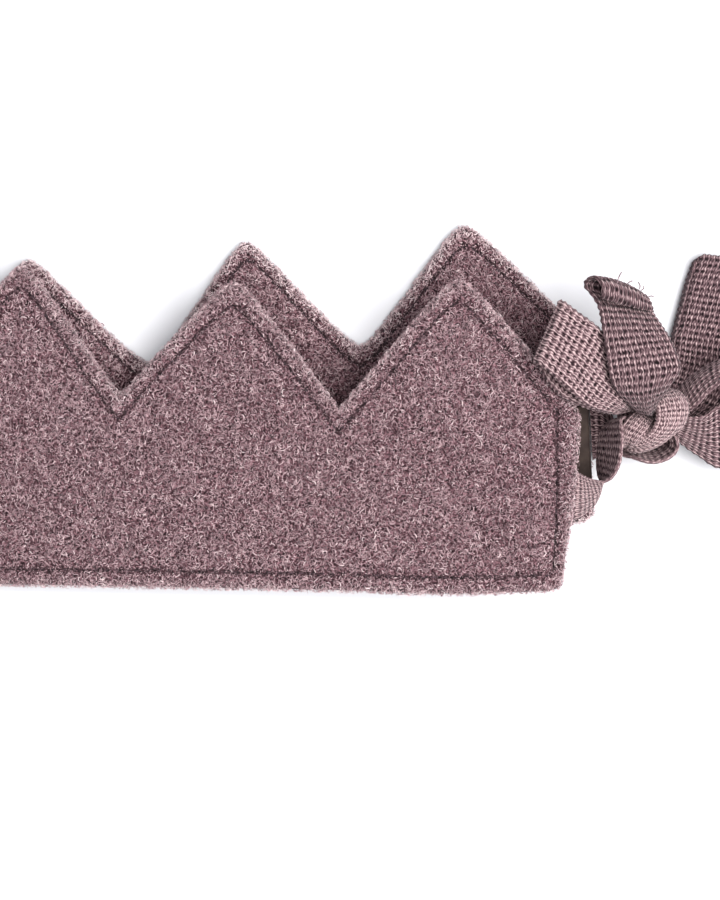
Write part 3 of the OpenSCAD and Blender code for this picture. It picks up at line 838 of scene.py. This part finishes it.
# The right loop of the bow: the tape stands open on its edge. It leaves the knot on the side of the points,
# turns round at its far end and comes back on the other side, so that its inside shows. Its tone is painted
# darker there, as the shade inside the loop.
LOOP_RIGHT = [
    [103.5, 11.5, 19.5, 103, 14.5, 16, 0],
    [108.5, 12.2, 22, 106.8, 19.8, 15.5, -1.2],
    [112.2, 14.3, 24.8, 111.5, 23.5, 11.5, -3],
    [116, 18.6, 26.6, 117.6, 27, 9.5, -3.6],
    [121, 22.6, 27.4, 125.4, 30.4, 9, -3.4],
    [128, 25.8, 27.6, 132.6, 33, 8.6, -2.4],
    [135, 26.5, 27, 142.5, 33, 8, -1],
    [140, 22.5, 26, 150, 26.5, 7.5, -0.3],
    [141.5, 18, 25, 153.5, 16, 7, 0],
    [138.5, 16.5, 23.5, 150.5, 3.5, 8, 0],
    [131, 16.8, 22, 138, -4.5, 9, -0.5],
    [121, 15, 20.5, 123.5, -6.3, 10, -0.8],
    [115.8, 11.6, 21, 115.3, -2.1, 12, -0.8],
    [110, 10.8, 21.5, 108, 2.8, 15.2, -0.4],
    [104.5, 10.5, 20, 103.3, 7, 17.2, 0],
]
bow_piece("bow_loop_right", LOOP_RIGHT, pleats=0.5, back=0.8)

# The stray ends of the left tail: soft spun yarn that stands off the hem, where the tape was cut and turned.
# It is matt, and its twist makes it a little lighter and darker every 0.8 mm.
stray_yarn = new_material("stray_yarn")
stray_where = add_node(stray_yarn, "ShaderNodeTexCoord").outputs["Object"]
stray_twist = add_node(stray_yarn, "ShaderNodeTexNoise", None,
                       {"Vector": stray_where, "Scale": 1 / (0.8 * MM), "Detail": 2.0})
stray_colour = add_node(stray_yarn, "ShaderNodeValToRGB",
                        {"stops": [(0.3, "#6d5a5f"), (0.7, "#9d898c")]}, {"Fac": stray_twist})
stray_skin = add_node(stray_yarn, "ShaderNodeBsdfPrincipled", None,
                      {"Base Color": stray_colour, "Roughness": 0.9})
add_node(stray_yarn, "ShaderNodeOutputMaterial", None, {"Surface": stray_skin})
# A row is one end of yarn: the x, y and z of its middle, its direction, its length and how far it turns
STRAY_ENDS = np.array([
    [84.0, 56.0, 43.6, 0.35, 0.93, 0.1, 5.2, -0.7],
    [91.2, 53.6, 41.4, -0.2, 0.95, 0.2, 3.2, 1.6],
    [94.6, 50.2, 39.6, 0.9, 0.4, 0.1, 3.6, -2.4],
    [92.4, 52.6, 40.8, 0.5, 0.8, 0.3, 2.6, 2.2],
    [87.6, 54.6, 42.6, 0.8, 0.55, 0.1, 3.0, -1.2],
])
STRAY_THICK = 0.46
stray_count = len(STRAY_ENDS)
stray_fibres = fibres(STRAY_ENDS[:, :3] + VIEW_MIDDLE, np.tile([0.0, 0.0, 1.0], (stray_count, 1)),
                      unit(STRAY_ENDS[:, 3:6]), STRAY_ENDS[:, 6], STRAY_ENDS[:, 7], np.full(stray_count, 0.5),
                      np.full(stray_count, STRAY_THICK), np.full(stray_count, 0.2), 5)
stray_ends = fibre_piece("stray_yarn_ends", [stray_fibres], [np.full(stray_count, 0.5)], stray_yarn)

# The left tail: one free end of the tape, with its back upwards, drawn darker, partly as the knit's own back
# and partly as painted shade. It comes out of the knot gathered, lies over the left loop and ends in a hem
# that is rolled over its face.
TAIL_LEFT = [
    [97.5, 11, 20, 98.5, 11, 20, 0],
    [94.5, 12.8, 26, 98.6, 14, 26, 1.5],
    [90.4, 14.2, 29.5, 98.9, 16.4, 30.5, 3],
    [84.2, 19.2, 37, 102, 21.6, 37.4, 2],
    [81.6, 24, 40.5, 104.7, 26.8, 39, 0.8],
    [80.2, 32, 42, 102.2, 34.8, 39, 0.6],
    [78.9, 41, 41, 99, 40.8, 37.5, 0.5],
    [78, 46.8, 38.8, 96.8, 44.8, 35, 0.5],
    [76, 50.8, 36.6, 96.5, 47, 33.4, 0],
    [73.8, 53.4, 36.8, 96, 48.8, 33.2, -0.8],
    [73.9, 55.7, 39.2, 95, 50, 34.8, -1.4],
    [76, 56.2, 42.2, 94.5, 49.4, 37.2, -1.6],
    [78.2, 53.8, 44, 95.2, 47.8, 38.8, -1.4],
    [78.6, 50.8, 44, 95.8, 46.2, 39, -0.8],
    [77.9, 49.2, 42.8, 95.9, 45.3, 38.2, -0.4],
]
bow_piece("tail_left", TAIL_LEFT, pleats=0.4, back=1.0)

# The right tail: the other free end of the tape. It comes out under the right loop and goes back along the
# table on the side of the points, with its first selvedge curled under and its hem turned under.
TAIL_RIGHT = [
    [103, 13, 18, 104.5, 10, 17, 0],
    [103, 14.6, 14.5, 109, 8.6, 13.5, 0],
    [103, 18, 9, 117.2, 9.4, 8, 0],
    [104.2, 23.5, 5.6, 124.4, 14.6, 5, 0],
    [106.4, 30, 5, 128.4, 25, 4.4, 0.3],
    [107.6, 39, 6, 129.5, 36, 5, 0.5],
    [110, 48.5, 6, 132, 45.5, 5, 0.5],
    [112.5, 58, 5.5, 134.5, 55.5, 5, 0.5],
    [115, 65, 5, 137, 62.5, 4.5, 0.5],
    [115.8, 67.3, 3.9, 137.8, 64.8, 3.5, 0],
    [115.3, 65.5, 2.4, 137.3, 63, 2, 0],
    [114, 60, 2, 136, 57.5, 1.6, 0],
]
# Its back is drawn darker, partly as painted shade where it lies low under the loops
bow_piece("tail_right", TAIL_RIGHT, pleats=0.5, curl=2.8, back=1.1)

# The knot: the tape wound round itself. The wrap crosses over the top and is tucked under at the lower left,
# with a second turn of it showing beside it. The tape that joins the two loops runs through below. All of it
# is drawn tight, so fewer ribs show across it and its stitches are shorter.
KNOT_WRAP = [
    [99, 19.2, 17, 106.5, 19.5, 15, 0],
    [98.6, 18.6, 23, 107.2, 19.8, 20, -0.6],
    [98.4, 15.4, 27, 109.4, 17.2, 23.6, -1.4],
    [98.6, 12, 28.2, 110, 12.8, 24.2, -1.8],
    [98, 8.6, 28.4, 108.6, 8.6, 24.2, -1.8],
    [96.2, 5.6, 27.6, 105.2, 5.2, 23.8, -1.4],
    [93.8, 3.6, 26.2, 100.6, 1.6, 23, -1],
    [91, 3, 24, 94.8, -0.8, 21.5, -0.6],
    [89.2, 3.6, 20.5, 90.6, -0.6, 19, 0],
    [90, 5, 17, 90, 2, 16, 0],
]
KNOT_TURN = [
    [97, 13, 16.5, 101, 10, 17, 0],
    [93.6, 13.4, 20.5, 99.6, 9, 22, -0.4],
    [89.6, 10.8, 24, 97.6, 6, 25.6, -0.9],
    [87, 6.8, 24.2, 95, 3.6, 26.2, -0.9],
    [86.8, 3.2, 21.5, 92.8, 1.4, 23.5, -0.6],
    [88.6, 1.4, 18, 92, 0.6, 19, 0],
]
KNOT_MIDDLE = [
    [87, 14.5, 14.5, 88, 8, 13.5, 0],
    [91, 17, 16.5, 92, 6.5, 14.5, 0.5],
    [96, 19.5, 17.5, 97, 5.5, 15, 1],
    [101, 21, 16.5, 101, 6, 15, 1],
    [105, 20, 14.5, 105, 8, 14, 0.5],
    [108, 18.5, 13, 107.5, 10, 13.5, 0],
]
KNOT_WALES = 7
KNOT_COURSE = 1.5
for name, rows in (("knot_wrap", KNOT_WRAP), ("knot_turn", KNOT_TURN), ("knot_middle", KNOT_MIDDLE)):
    piece, long = tape(name, rows, 0.4, wales=KNOT_WALES, course_long=KNOT_COURSE)
    if name == "knot_wrap":
        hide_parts("bow_knot")

# The table: a plain pale board, painted matt. It lies a trace below the crown's lowest point.
bpy.ops.object.select_all(action="DESELECT")
bpy.ops.mesh.primitive_plane_add(size=8, location=(0, 0, -0.1 * MM))
table = bpy.context.object
table.name = "table"
white_table = new_material("white_table")
board = add_node(white_table, "ShaderNodeBsdfPrincipled", None,
                 {"Roughness": 0.9, "Base Color": linear("#c8c8ca")})
add_node(white_table, "ShaderNodeOutputMaterial", None, {"Surface": board})
table.data.materials.append(white_table)

# The light: one wide softbox above, on the bow's side, and the pale walls of the room all round
softbox_light = bpy.data.lights.new("softbox", "AREA")
softbox_light.shape = "DISK"
softbox_light.size = 1.5
softbox_light.energy = 47
softbox = bpy.data.objects.new("softbox", softbox_light)
softbox.location = (0.5, -0.1, 1.3)
softbox.rotation_euler = (-softbox.location).to_track_quat("-Z", "Y").to_euler()
bpy.context.collection.objects.link(softbox)
world = bpy.data.worlds.new("soft_room")
world.use_nodes = True
world.node_tree.nodes["Background"].inputs["Color"].default_value = linear("#f5f5ff")
world.node_tree.nodes["Background"].inputs["Strength"].default_value = 0.37
bpy.context.scene.world = world
bpy.context.scene.view_settings.view_transform = "Standard"
bpy.context.scene.view_settings.look = "Medium High Contrast"

# The camera: the photograph is taken from straight above. The tall side of the picture takes in VIEW_TALL
# metres of the table, on a sensor that is SENSOR mm long.
CAMERA_HEIGHT = 0.700
VIEW_TALL = 0.3118
SENSOR = 36
camera_data = bpy.data.cameras.new("camera")
camera_data.lens = SENSOR * CAMERA_HEIGHT / VIEW_TALL
camera = bpy.data.objects.new("camera", camera_data)
camera.location = (VIEW_MIDDLE[0] * MM, VIEW_MIDDLE[1] * MM, CAMERA_HEIGHT)
bpy.context.collection.objects.link(camera)
bpy.context.scene.camera = camera
